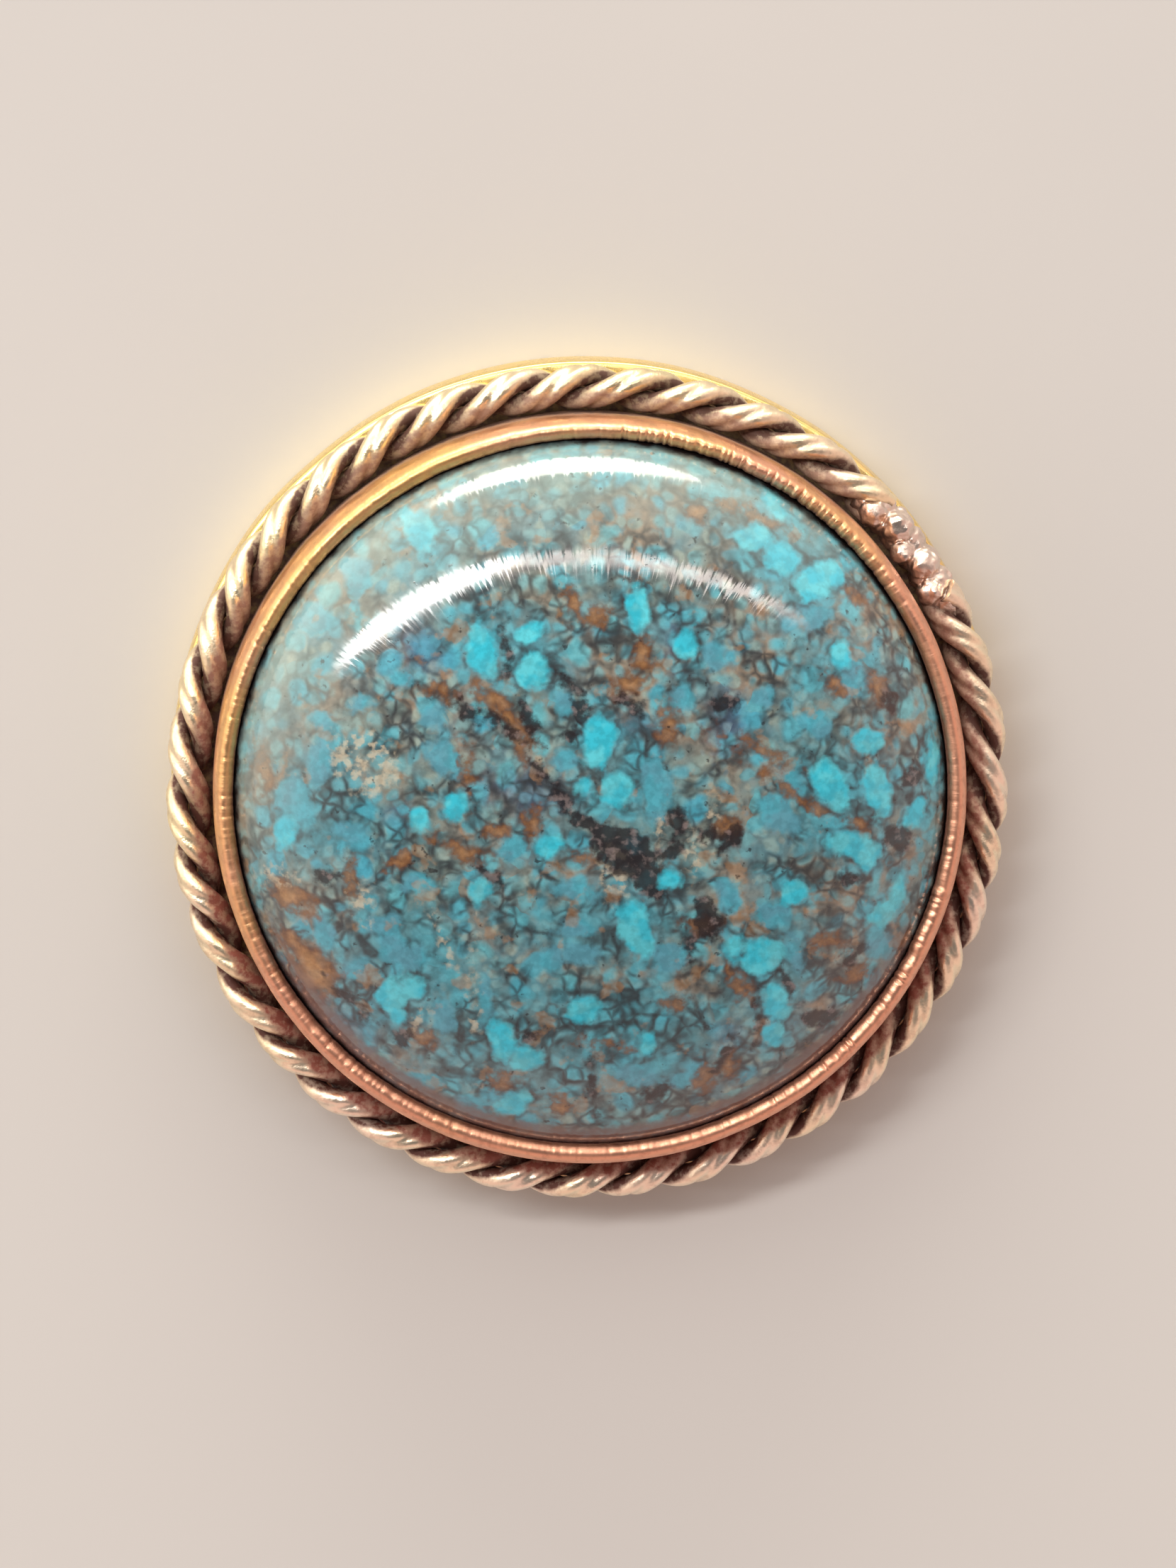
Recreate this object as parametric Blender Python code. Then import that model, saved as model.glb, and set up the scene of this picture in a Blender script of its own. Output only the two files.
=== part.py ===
"""A round turquoise cabochon in a brass bezel, with a border of twisted wire.

Run it with blender --background --python part.py, or from the text editor.

The back of the plate lies on Z = 0 and the piece is turned about the Z axis. Seen from above with
+Y up, angles run counter-clockwise from +X. Sizes are in millimetres until metres() turns them
into Blender's metres.
"""

import math

import bmesh
import bpy

# Driving dimensions, in millimetres
STONE_DIAMETER = 16.0  # a calibrated cabochon, at its girdle
STONE_BASE_CHAMFER = 0.25
STONE_GIRDLE_HEIGHT = 1.17  # the straight side, from the stone's flat base
DOME_HEIGHT = 3.0  # from the girdle to the crown
DOME_FULLNESS = 2.4  # 2 is an ellipse, more is flatter on top and rounder at the shoulder
PLATE_DIAMETER = 18.4
PLATE_THICKNESS = 1.2
PLATE_EDGE_ROUND = 0.18
BEZEL_WALL = 0.30  # the sheet that is bent round the stone
BEZEL_HEIGHT = 2.24
BEZEL_LIP_OVERHANG = 0.16  # how far the burnished lip leans in over the stone
ROPE_DIAMETER = 1.02  # the two twisted strands together
STRAND_HALF_WIDTH = 0.31  # each strand is an oval, wider than it is deep
ROPE_TURNS = 19.5  # 39 lumps round the border, two to a turn
ROPE_CREST_ANGLE = 205.9  # degrees, where one strand crosses the top of the rope
ROPE_SEAM_ANGLE = 36.0  # degrees, where the strands' cut ends meet
FIT_GAP = 0.03  # between pieces that touch in the real one

# How finely the round shapes are cut
RING_SEGMENTS = 64
DOME_STEPS = 7
ROPE_STEPS_PER_TURN = 10
STRAND_SIDES = 8

# Worked out from the driving dimensions
STONE_RADIUS = STONE_DIAMETER / 2
SEAT_HEIGHT = PLATE_THICKNESS + FIT_GAP
WALL_INNER_RADIUS = STONE_RADIUS + FIT_GAP
WALL_OUTER_RADIUS = WALL_INNER_RADIUS + BEZEL_WALL
ROPE_RADIUS = ROPE_DIAMETER / 2
ROPE_RING_RADIUS = WALL_OUTER_RADIUS + FIT_GAP + ROPE_RADIUS
ROPE_CENTRE_HEIGHT = PLATE_THICKNESS + FIT_GAP + ROPE_RADIUS


def metres(*millimetres):
    """The same lengths in Blender's metres."""
    return tuple(length * 0.001 for length in millimetres)


def clear_scene():
    for old in list(bpy.data.objects):
        bpy.data.objects.remove(old)


def make_material(name, colour, roughness, metallic):
    material = bpy.data.materials.new(name)
    material.use_nodes = True
    shader = material.node_tree.nodes["Principled BSDF"]
    shader.inputs["Base Color"].default_value = (*colour, 1.0)
    shader.inputs["Roughness"].default_value = roughness
    shader.inputs["Metallic"].default_value = metallic
    return material


def finish_object(name, mesh_data, material, height):
    """Turns the mesh data into a named object that stands at a height, and smooths its round faces."""
    bmesh.ops.recalc_face_normals(mesh_data, faces=mesh_data.faces)
    mesh = bpy.data.meshes.new(name)
    mesh_data.to_mesh(mesh)
    mesh_data.free()
    mesh.materials.append(material)
    mesh.shade_smooth()
    mesh.set_sharp_from_angle(angle=math.radians(40))
    piece = bpy.data.objects.new(name, mesh)
    piece.location.z = metres(height)[0]
    bpy.context.scene.collection.objects.link(piece)
    return piece


def make_turned(name, profile, material, height, closed):
    """Spins a profile of (radius, height) points about Z. A closed profile gives a ring."""
    mesh_data = bmesh.new()
    corners = []
    for radius, level in profile:
        x, z = metres(radius, level)
        corners.append(mesh_data.verts.new((x, 0, z)))
    edges = [mesh_data.edges.new(pair) for pair in zip(corners, corners[1:])]
    if closed:
        edges.append(mesh_data.edges.new((corners[-1], corners[0])))
    bmesh.ops.spin(
        mesh_data,
        geom=corners + edges,
        cent=(0, 0, 0),
        axis=(0, 0, 1),
        angle=math.tau,
        steps=RING_SEGMENTS,
        use_merge=True,
    )
    bmesh.ops.remove_doubles(mesh_data, verts=mesh_data.verts, dist=1e-7)
    return finish_object(name, mesh_data, material, height)


def make_stone(material):
    """The cabochon: a flat base with a small chamfer, a straight side and a full, low dome."""
    profile = [
        (0.0, 0.0),
        (STONE_RADIUS - STONE_BASE_CHAMFER, 0.0),
        (STONE_RADIUS, STONE_BASE_CHAMFER),
    ]
    for step in range(DOME_STEPS):
        turn = math.pi / 2 * step / DOME_STEPS
        radius = STONE_RADIUS * math.cos(turn) ** (2 / DOME_FULLNESS)
        rise = DOME_HEIGHT * math.sin(turn) ** (2 / DOME_FULLNESS)
        profile.append((radius, STONE_GIRDLE_HEIGHT + rise))
    profile.append((0.0, STONE_GIRDLE_HEIGHT + DOME_HEIGHT))
    return make_turned("stone", profile, material, SEAT_HEIGHT, closed=False)


def make_back_plate(material):
    """The flat disc that everything is soldered to, with its edge eased all round."""
    radius = PLATE_DIAMETER / 2
    profile = [
        (0.0, 0.0),
        (radius - PLATE_EDGE_ROUND, 0.0),
        (radius, PLATE_EDGE_ROUND),
        (radius, PLATE_THICKNESS - PLATE_EDGE_ROUND),
        (radius - PLATE_EDGE_ROUND, PLATE_THICKNESS),
        (0.0, PLATE_THICKNESS),
    ]
    return make_turned("back_plate", profile, material, 0.0, closed=False)


def make_bezel(material):
    """The thin wall round the stone. Its top is rolled inwards to a lip that holds the stone down."""
    lip_radius = WALL_INNER_RADIUS - BEZEL_LIP_OVERHANG
    shoulder = BEZEL_HEIGHT - BEZEL_WALL * 1.5
    profile = [
        (WALL_INNER_RADIUS, 0.0),
        (WALL_OUTER_RADIUS, 0.0),
        (WALL_OUTER_RADIUS, shoulder),
        (WALL_OUTER_RADIUS - BEZEL_WALL * 0.15, shoulder + BEZEL_WALL * 0.9),
        (WALL_OUTER_RADIUS - BEZEL_WALL * 0.55, BEZEL_HEIGHT),
        (lip_radius + BEZEL_WALL * 0.15, BEZEL_HEIGHT - BEZEL_WALL * 0.1),
        (lip_radius, BEZEL_HEIGHT - BEZEL_WALL * 0.4),
        (WALL_INNER_RADIUS, shoulder),
    ]
    return make_turned("bezel", profile, material, SEAT_HEIGHT, closed=True)


def strand_outline():
    """One strand's outline square to its own path, as (out from the rope's centre, sideways).

    The outline is an oval with its long axis sideways. It starts just clear of the rope's centre,
    where the two strands touch, and ends at the rope's outer edge.
    """
    middle = (ROPE_RADIUS + FIT_GAP) / 2
    half_depth = (ROPE_RADIUS - FIT_GAP) / 2
    outline = []
    for side in range(STRAND_SIDES):
        turn = math.tau * side / STRAND_SIDES
        outline.append((middle + half_depth * math.cos(turn), STRAND_HALF_WIDTH * math.sin(turn)))
    return outline


def make_rope_strand(name, strand_turn, material):
    """One of the two strands that are twisted together, bent round the bezel and cut at the seam."""
    turn_length = math.tau * ROPE_RING_RADIUS / ROPE_TURNS
    slant = math.atan(math.tau * ROPE_RADIUS / 2 / turn_length)
    steps = round(ROPE_TURNS * ROPE_STEPS_PER_TURN)
    half_seam = math.degrees(FIT_GAP / ROPE_RING_RADIUS)
    crest = math.radians(ROPE_CREST_ANGLE)
    mesh_data = bmesh.new()
    rings = []
    for step in range(steps + 1):
        along = half_seam + (360 - 2 * half_seam) * step / steps
        cut_angle = math.radians(ROPE_SEAM_ANGLE + along)
        twist = math.pi / 2 + strand_turn + ROPE_TURNS * (cut_angle - crest)
        ring = []
        for out, sideways in strand_outline():
            across = sideways * math.cos(slant)
            ring_angle = cut_angle - sideways * math.sin(slant) / ROPE_RING_RADIUS
            radius = ROPE_RING_RADIUS + out * math.cos(twist) - across * math.sin(twist)
            height = out * math.sin(twist) + across * math.cos(twist)
            x, y, z = metres(radius * math.cos(ring_angle), radius * math.sin(ring_angle), height)
            ring.append(mesh_data.verts.new((x, y, z)))
        rings.append(ring)
    for near, far in zip(rings, rings[1:]):
        for corner in range(STRAND_SIDES):
            beside = (corner + 1) % STRAND_SIDES
            # This diagonal bulges on the outside and is hollow next to the other strand
            mesh_data.faces.new((near[corner], near[beside], far[corner]))
            mesh_data.faces.new((near[beside], far[beside], far[corner]))
    mesh_data.faces.new(rings[0])
    mesh_data.faces.new(rings[-1])
    return finish_object(name, mesh_data, material, ROPE_CENTRE_HEIGHT)


def main():
    clear_scene()
    turquoise = make_material("turquoise", (0.13, 0.37, 0.40), roughness=0.12, metallic=0.0)
    plate_brass = make_material("plate_brass", (0.80, 0.52, 0.20), roughness=0.28, metallic=1.0)
    bezel_brass = make_material("bezel_brass", (0.78, 0.45, 0.25), roughness=0.30, metallic=1.0)
    rope_brass = make_material("rope_brass", (0.82, 0.58, 0.36), roughness=0.25, metallic=1.0)
    make_back_plate(plate_brass)
    make_bezel(bezel_brass)
    make_stone(turquoise)
    make_rope_strand("rope_strand_a", 0.0, rope_brass)
    make_rope_strand("rope_strand_b", math.pi, rope_brass)


main()
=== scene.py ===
"""The looks of a round turquoise cabochon in a brass bezel with a border of twisted wire.

The frame gives every main size. Details that the frame doesn't hold, such as the lip's tool marks
or the wire's groove, are in millimetres. Seen from above with +Y up, angles run counter-clockwise
from +X.
"""

import math

import bmesh
import bpy
import numpy as np
from mathutils import Matrix, Vector, noise


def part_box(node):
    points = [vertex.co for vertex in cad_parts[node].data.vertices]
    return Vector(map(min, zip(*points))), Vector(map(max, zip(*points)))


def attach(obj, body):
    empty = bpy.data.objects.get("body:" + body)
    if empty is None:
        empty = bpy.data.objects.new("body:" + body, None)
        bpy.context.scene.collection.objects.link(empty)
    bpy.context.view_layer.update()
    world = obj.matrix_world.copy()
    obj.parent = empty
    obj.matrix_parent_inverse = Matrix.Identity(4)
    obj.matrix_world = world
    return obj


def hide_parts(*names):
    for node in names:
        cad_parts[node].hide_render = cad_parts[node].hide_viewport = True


MM = 0.001
BODY = "root"

# How finely each piece is cut
STONE_SEGMENTS, DOME_STEPS = 720, 118
LIP_SEGMENTS = 1500
PLATE_SEGMENTS = 360
STRAND_STEPS, WIRE_SIDES = 800, 32

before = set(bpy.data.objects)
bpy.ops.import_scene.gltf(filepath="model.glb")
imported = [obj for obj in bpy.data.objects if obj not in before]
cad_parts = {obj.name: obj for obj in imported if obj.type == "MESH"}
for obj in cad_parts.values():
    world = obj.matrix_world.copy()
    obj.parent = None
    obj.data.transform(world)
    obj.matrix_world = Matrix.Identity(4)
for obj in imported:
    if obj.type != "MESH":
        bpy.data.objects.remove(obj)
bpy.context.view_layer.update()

# Main sizes, read from the frame
_, plate_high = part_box("back_plate")
bezel_low, bezel_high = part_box("bezel")
stone_low, stone_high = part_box("stone")
rope_low, rope_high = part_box("rope_strand_a")
PLATE_RADIUS = plate_high.x
PLATE_TOP = plate_high.z
WALL_RADIUS = bezel_high.x
WALL_FOOT = bezel_low.z
WALL_TOP = bezel_high.z
STONE_RADIUS = stone_high.x
STONE_BASE = stone_low.z
STONE_CROWN = stone_high.z
ROPE_RADIUS = (rope_high.z - rope_low.z) / 2
ROPE_HEIGHT = (rope_high.z + rope_low.z) / 2
FIT_GAP = 0.03 * MM
ROPE_RING_RADIUS = WALL_RADIUS + FIT_GAP + ROPE_RADIUS

# Shapes that the box of a node doesn't tell, the same as in the solids
GIRDLE_HEIGHT = 1.17 * MM
DOME_FULLNESS = 2.4
WALL_THICKNESS = 0.30 * MM
LIP_OVERHANG = 0.16 * MM
ROPE_TURNS = 19.5
ROPE_CREST_ANGLE = math.radians(205.9)
ROPE_SEAM_ANGLE = math.radians(36.0)

# The stone's markings as a cutter would map them, seen from above, in millimetres from its centre:
# (x, y, half length, half width, lean of the length in degrees)
BRIGHT_NODULES = [
    (-2.45, 3.45, 0.50, 0.31, 100), (-1.36, 3.05, 0.38, 0.33, 80), (-1.45, 3.85, 0.27, 0.19, 0),
    (0.95, 4.35, 0.42, 0.21, 100), (2.0, 3.55, 0.33, 0.23, 100), (0.05, 1.5, 0.52, 0.33, 80),
    (0.5, 0.42, 0.36, 0.32, 90), (-0.22, 0.46, 0.20, 0.18, 0), (3.5, 5.8, 0.32, 0.26, 0),
    (4.1, 5.4, 0.45, 0.28, 140), (4.8, 4.8, 0.38, 0.30, 100), (5.25, 5.0, 0.30, 0.24, 0),
    (3.95, 6.5, 0.34, 0.15, 125), (5.4, 3.2, 0.26, 0.21, 90), (5.15, 0.45, 0.55, 0.32, 120),
    (6.2, 0.25, 0.55, 0.27, 105), (6.05, 1.35, 0.36, 0.25, 10), (7.5, 0.75, 0.42, 0.17, 95),
    (7.1, -0.35, 0.28, 0.19, 70), (5.6, -0.9, 0.50, 0.28, 170), (6.0, -1.2, 0.30, 0.24, 60),
    (4.35, -1.95, 0.32, 0.25, 0), (6.45, -2.55, 0.34, 0.24, 35), (6.7, -2.05, 0.34, 0.16, 80),
    (3.7, -3.35, 0.44, 0.39, 10), (3.05, -3.15, 0.27, 0.17, 90), (4.0, -4.4, 0.40, 0.26, 100),
    (3.97, -5.2, 0.26, 0.22, 0), (0.88, -2.65, 0.62, 0.33, 105), (-0.25, -4.5, 0.33, 0.30, 0),
    (-2.0, -5.25, 0.46, 0.26, 100), (-1.5, -5.65, 0.32, 0.26, 10), (1.15, -5.3, 0.27, 0.22, 90),
    (-4.4, -4.25, 0.38, 0.34, 90), (-4.0, -4.05, 0.27, 0.24, 0), (-4.25, -4.65, 0.20, 0.16, 0),
    (-1.75, -6.75, 0.38, 0.22, 35), (1.65, -1.6, 0.23, 0.20, 0), (-3.8, 6.0, 0.42, 0.28, 125),
    (-3.05, 0.05, 0.29, 0.26, 90), (-3.8, -0.25, 0.24, 0.20, 100), (-6.75, -0.65, 0.33, 0.24, 80),
    (-2.5, -1.8, 0.26, 0.21, 80), (-1.03, -0.82, 0.30, 0.22, 0),
]
SOFT_NODULES = [
    (1.35, 0.5, 0.65, 0.33, 95), (-0.69, 1.05, 0.26, 0.25, 0), (-0.69, 2.34, 0.26, 0.24, 0),
    (1.9, 2.4, 0.32, 0.25, 110), (2.6, 3.3, 0.34, 0.24, 110), (4.8, 4.1, 0.36, 0.25, 0),
    (5.6, 2.85, 0.50, 0.28, 100), (3.7, 2.4, 0.24, 0.22, 0), (4.9, 1.75, 0.32, 0.25, 100),
    (4.05, -0.2, 0.50, 0.34, 140), (4.25, 0.55, 0.36, 0.25, 150), (3.9, -2.45, 0.42, 0.28, 0),
    (4.4, -3.3, 0.38, 0.20, 95), (6.3, -3.3, 0.32, 0.25, 20), (1.65, -3.3, 0.40, 0.36, 0),
    (-0.4, -2.65, 0.36, 0.22, 0), (-0.4, -3.2, 0.42, 0.26, 0), (-0.95, -3.3, 0.32, 0.28, 0),
    (1.0, -6.05, 0.44, 0.24, 0), (1.95, -6.2, 0.26, 0.20, 0), (-2.65, -6.85, 0.42, 0.28, 140),
    (-1.4, -7.15, 0.26, 0.17, 0), (-3.75, -6.25, 0.45, 0.20, 170), (-2.4, -4.25, 0.52, 0.16, 95),
    (-3.3, -4.65, 0.52, 0.22, 95), (-4.6, -2.6, 0.36, 0.21, 0), (-4.4, -3.15, 0.36, 0.30, 90),
    (-3.9, -3.3, 0.27, 0.24, 0), (-5.2, -3.65, 0.32, 0.24, 20), (-5.9, -2.9, 0.46, 0.24, 95),
    (-5.05, -5.45, 0.28, 0.20, 110), (-3.55, 2.05, 0.30, 0.25, 90), (-5.1, 2.25, 0.22, 0.19, 0),
    (-4.2, 2.85, 0.26, 0.17, 0), (-6.0, 1.85, 0.22, 0.20, 0), (-6.0, 1.0, 0.55, 0.24, 80),
    (-3.3, 1.1, 0.44, 0.28, 140), (-5.3, -0.6, 0.32, 0.23, 0), (-6.6, 0.05, 0.50, 0.40, 80),
    (-3.85, -1.65, 0.34, 0.24, 160), (-5.1, 4.95, 0.36, 0.26, 100), (-6.05, 3.95, 0.46, 0.30, 20),
    (-1.8, -0.87, 0.32, 0.24, 0), (-0.4, -1.8, 0.42, 0.22, 170), (2.9, -1.9, 0.28, 0.22, 90),
]
DARK_PATCHES = [
    (0.66, -0.95, 0.80, 0.48, 145), (0.1, -0.42, 0.45, 0.12, 155), (1.15, -1.5, 0.50, 0.30, 115),
    (1.78, -0.3, 0.30, 0.15, 100), (1.7, -0.85, 0.30, 0.13, 60), (2.45, -2.45, 0.40, 0.24, 110),
    (2.95, -0.7, 0.26, 0.18, 60), (6.7, -0.85, 0.32, 0.26, 160), (5.05, -4.85, 0.46, 0.17, 5),
    (5.75, -3.45, 0.28, 0.13, 50), (4.22, -3.95, 0.30, 0.08, 120), (3.6, -4.95, 0.27, 0.09, 85),
    (1.4, -6.5, 0.30, 0.11, 5), (-2.75, 2.1, 0.24, 0.10, 120), (-2.1, 1.9, 0.30, 0.08, 145),
    (-1.45, 1.95, 0.26, 0.09, 115), (-0.3, 2.2, 0.22, 0.15, 100), (-0.45, 2.6, 0.24, 0.06, 130),
    (-0.5, 1.6, 0.13, 0.12, 0), (-0.85, 0.4, 0.42, 0.07, 125), (0.76, 2.35, 0.22, 0.09, 135),
    (2.85, 2.3, 0.22, 0.13, 0), (-2.3, -1.5, 0.22, 0.09, 150), (-5.85, -1.55, 0.17, 0.12, 0),
    (-5.4, -4.3, 0.30, 0.06, 135), (-4.2, -5.2, 0.14, 0.11, 40), (5.65, -1.7, 0.13, 0.09, 0),
    (2.85, -5.65, 0.27, 0.06, 60), (0.0, -6.35, 0.30, 0.05, 95), (-1.4, -5.1, 0.12, 0.10, 0),
    (6.5, 2.2, 0.20, 0.13, 120), (2.5, -0.6, 0.14, 0.10, 0), (2.05, -3.2, 0.32, 0.06, 95),
    (-1.9, 3.5, 0.36, 0.08, 95), (7.0, 0.45, 0.18, 0.16, 0),
]
RUST_PATCHES = [
    (-2.3, 2.45, 0.40, 0.20, 140), (-1.85, 2.0, 0.55, 0.15, 130), (-1.65, 1.4, 0.26, 0.09, 95),
    (0.72, 2.75, 0.30, 0.20, 20), (1.57, 1.91, 0.36, 0.22, 100), (1.05, 3.4, 0.32, 0.17, 80),
    (-0.45, 4.45, 0.24, 0.08, 115), (0.0, 4.2, 0.26, 0.10, 5), (2.25, 6.35, 0.18, 0.16, 0),
    (3.5, 6.25, 0.50, 0.10, 160), (6.3, 2.4, 0.34, 0.19, 125), (5.25, 2.65, 0.22, 0.15, 110),
    (5.85, 4.4, 0.22, 0.11, 130), (3.5, 1.28, 0.45, 0.07, 155), (4.4, 0.25, 0.72, 0.06, 145),
    (2.9, -0.45, 0.28, 0.24, 60), (5.8, -0.5, 0.18, 0.12, 150), (3.15, -3.9, 0.32, 0.15, 120),
    (5.1, -3.1, 0.32, 0.17, 0), (5.75, -3.85, 0.30, 0.18, 0), (3.0, -5.85, 0.30, 0.17, 80),
    (2.5, -6.15, 0.32, 0.20, 60), (2.3, -2.6, 0.32, 0.15, 0), (-2.0, -6.2, 0.23, 0.21, 0),
    (0.35, -5.3, 0.32, 0.07, 175), (1.8, -4.4, 0.22, 0.11, 0), (-3.75, -5.2, 0.24, 0.17, 140),
    (-6.65, -3.1, 0.27, 0.19, 160), (-6.1, -3.75, 0.62, 0.42, 130), (-6.6, -2.1, 0.50, 0.26, 145),
    (-5.3, -1.5, 0.34, 0.12, 90), (-4.3, -1.2, 0.24, 0.11, 20), (-2.9, -0.95, 0.45, 0.12, 160),
    (-1.33, -0.35, 0.26, 0.14, 90), (-2.2, -0.52, 0.22, 0.12, 0), (-0.22, -1.08, 0.21, 0.18, 0),
    (-7.2, 0.75, 0.42, 0.14, 100), (-3.35, 2.6, 0.27, 0.11, 165), (-2.8, 0.8, 0.32, 0.07, 95),
    (-0.7, -6.8, 0.22, 0.18, 90),
]
CREAM_PATCHES = [
    (-5.0, 1.0, 0.75, 0.60, 140), (-5.1, -2.1, 0.36, 0.20, 100), (-3.3, -2.95, 0.34, 0.06, 110),
    (-3.85, -4.75, 0.22, 0.12, 60), (-2.62, -4.2, 0.50, 0.05, 92), (0.45, -1.4, 0.50, 0.34, 100),
    (2.15, -1.0, 0.42, 0.16, 95), (1.42, -0.6, 0.28, 0.08, 80), (-6.85, -1.6, 0.40, 0.18, 0),
    (2.6, -0.2, 0.22, 0.09, 95),
]
TEAL_PATCHES = [
    (-0.5, -5.3, 3.4, 1.5, 5), (-4.4, -3.6, 1.7, 1.4, 60), (0.6, 0.8, 1.5, 0.9, 120),
    (5.3, 0.0, 1.5, 1.1, 120), (4.4, 5.2, 1.5, 0.8, 140), (-1.9, 3.5, 1.2, 0.7, 0),
    (-5.8, 0.0, 1.5, 0.9, 90), (4.0, -3.4, 1.3, 0.9, 60), (5.2, 3.0, 1.0, 0.8, 0),
    (0.2, -2.7, 1.8, 0.9, 0),
]
BLUE_PATCHES = [
    (2.85, 1.85, 0.62, 0.32, 95), (-3.75, 3.5, 0.60, 0.42, 150), (1.85, 3.6, 0.45, 0.25, 95),
    (-1.5, 0.4, 0.75, 0.35, 170), (0.85, 1.78, 0.42, 0.28, 0), (-4.25, -0.2, 0.27, 0.20, 90),
    (-5.35, -4.9, 0.62, 0.30, 145), (2.95, -5.15, 0.32, 0.26, 0),
]


class Sheet:
    """A node tree that is being wired. It adds nodes by type and links what they are given."""

    def __init__(self, tree):
        self.tree = tree

    def add(self, kind, inputs=None, **settings):
        node = self.tree.nodes.new(kind)
        for name, value in settings.items():
            setattr(node, name, value)
        for key, value in (inputs or {}).items():
            self.feed(node.inputs[key], value)
        return node

    def feed(self, socket, value):
        if isinstance(value, bpy.types.NodeSocket):
            self.tree.links.new(value, socket)
        else:
            socket.default_value = value

    def math(self, operation, *values, clamp=False):
        node = self.add("ShaderNodeMath", dict(enumerate(values)), operation=operation)
        node.use_clamp = clamp
        return node.outputs[0]

    def plus(self, first, second):
        return self.math("ADD", first, second)

    def minus(self, first, second):
        return self.math("SUBTRACT", first, second)

    def times(self, first, second):
        return self.math("MULTIPLY", first, second)

    def vector(self, x=0.0, y=0.0, z=0.0):
        return self.add("ShaderNodeCombineXYZ", {0: x, 1: y, 2: z}).outputs[0]

    def vector_math(self, operation, *values, output=0):
        node = self.add("ShaderNodeVectorMath", operation=operation)
        for key, value in zip((0, 1), values):
            self.feed(node.inputs[key], value)
        return node.outputs[output]

    def scaled(self, vector, factor):
        node = self.add("ShaderNodeVectorMath", {0: vector, "Scale": factor}, operation="SCALE")
        return node.outputs[0]

    def ramp(self, value, low, high, to_low=0.0, to_high=1.0):
        """A soft step: to_low at low and before, to_high at high and past it."""
        keys = {"Value": value, "From Min": low, "From Max": high, "To Min": to_low, "To Max": to_high}
        return self.add("ShaderNodeMapRange", keys, interpolation_type="SMOOTHSTEP").outputs[0]

    def noise(self, vector, scale, detail=2.0, roughness=0.5, output=0):
        keys = {"Vector": vector, "Scale": scale, "Detail": detail, "Roughness": roughness}
        return self.add("ShaderNodeTexNoise", keys).outputs[output]

    def mix(self, share, first, second, blend="MIX"):
        """Mixes two colours. The node keeps a pair of sockets for each type, and 6, 7 and 2 are colour."""
        node = self.add("ShaderNodeMix", data_type="RGBA", blend_type=blend)
        self.feed(node.inputs[0], share)
        self.feed(node.inputs[6], paint(first))
        self.feed(node.inputs[7], paint(second))
        return node.outputs[2]

    def group(self, tree, inputs):
        node = self.tree.nodes.new("ShaderNodeGroup")
        node.node_tree = tree
        for key, value in inputs.items():
            self.feed(node.inputs[key], paint(value))
        return node.outputs


def paint(value):
    """A colour of three numbers gets its alpha. Anything else is left as it is."""
    return (*value, 1.0) if isinstance(value, tuple) and len(value) == 3 else value


def screen(red, green, blue):
    """A colour as read off a screen, 0 to 255, in Blender's linear values."""
    shares = [channel / 255 for channel in (red, green, blue)]
    return tuple(s / 12.92 if s <= 0.04045 else ((s + 0.055) / 1.055) ** 2.4 for s in shares)


def new_group(name, inputs, outputs, kind="ShaderNodeTree"):
    """An empty node group: inputs {name: (socket type, default)}, outputs {name: socket type}."""
    tree = bpy.data.node_groups.new(name, kind)
    for socket_name, (socket_type, default) in inputs.items():
        socket = tree.interface.new_socket(socket_name, in_out="INPUT", socket_type=socket_type)
        if default is not None:
            socket.default_value = default
    for socket_name, socket_type in outputs.items():
        tree.interface.new_socket(socket_name, in_out="OUTPUT", socket_type=socket_type)
    sheet = Sheet(tree)
    return tree, sheet, sheet.add("NodeGroupInput").outputs, sheet.add("NodeGroupOutput").inputs


FLOAT, INTEGER = "NodeSocketFloat", "NodeSocketInt"
VECTOR, COLOUR = "NodeSocketVector", "NodeSocketColor"
GEOMETRY, MATERIAL = "NodeSocketGeometry", "NodeSocketMaterial"

# The stone's colours
STONE_TAUPE = screen(138, 124, 108)
STONE_GREY = screen(106, 132, 132)
STONE_HAZE = screen(80, 128, 142)
STONE_TEAL = screen(62, 132, 148)
STONE_NAVY = screen(48, 64, 96)
STONE_SLATE = screen(70, 116, 154)
STONE_WEB = screen(46, 50, 54)
STONE_SOFT = screen(72, 158, 178)
STONE_SOFT_DEEP = screen(82, 146, 166)
STONE_BRIGHT = screen(50, 178, 202)
STONE_BRIGHT_PALE = screen(84, 190, 206)
STONE_RUST = screen(96, 58, 34)
STONE_OCHRE = screen(166, 122, 76)
STONE_CREAM = screen(188, 178, 156)
STONE_DARK = screen(30, 24, 28)
STONE_CHIP = screen(110, 98, 98)
# Painted light on the stone's rim: a pale painted reflection at the top, a brown painted reflection at the
# bottom and painted shade under the lip
STONE_RIM_REFLECTION_TOP = screen(142, 158, 150)
STONE_RIM_REFLECTION_LOW = screen(112, 84, 80)
STONE_LIP_SHADE = screen(34, 26, 26)
STONE_IOR = 1.75

# The stone's grains: size in millimetres, fill, softness, share of the cells, strength, two tones
STONE_GRAINS = (
    (0.34, 0.44, 0.16, 0.94, 0.90, screen(144, 156, 146), screen(94, 154, 166)),
    (0.19, 0.36, 0.22, 0.55, 0.45, screen(156, 158, 144), screen(80, 126, 146)),
    (0.44, 0.39, 0.16, 0.62, 0.85, screen(114, 164, 168), screen(74, 152, 174)),
    (0.66, 0.40, 0.12, 0.54, 0.85, screen(96, 172, 182), screen(64, 158, 184)),
)
# The dark web between them: grain size, width as a share of it, strength
STONE_WEBS = ((0.34, 0.26, 0.78), (0.66, 0.20, 0.72))

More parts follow.
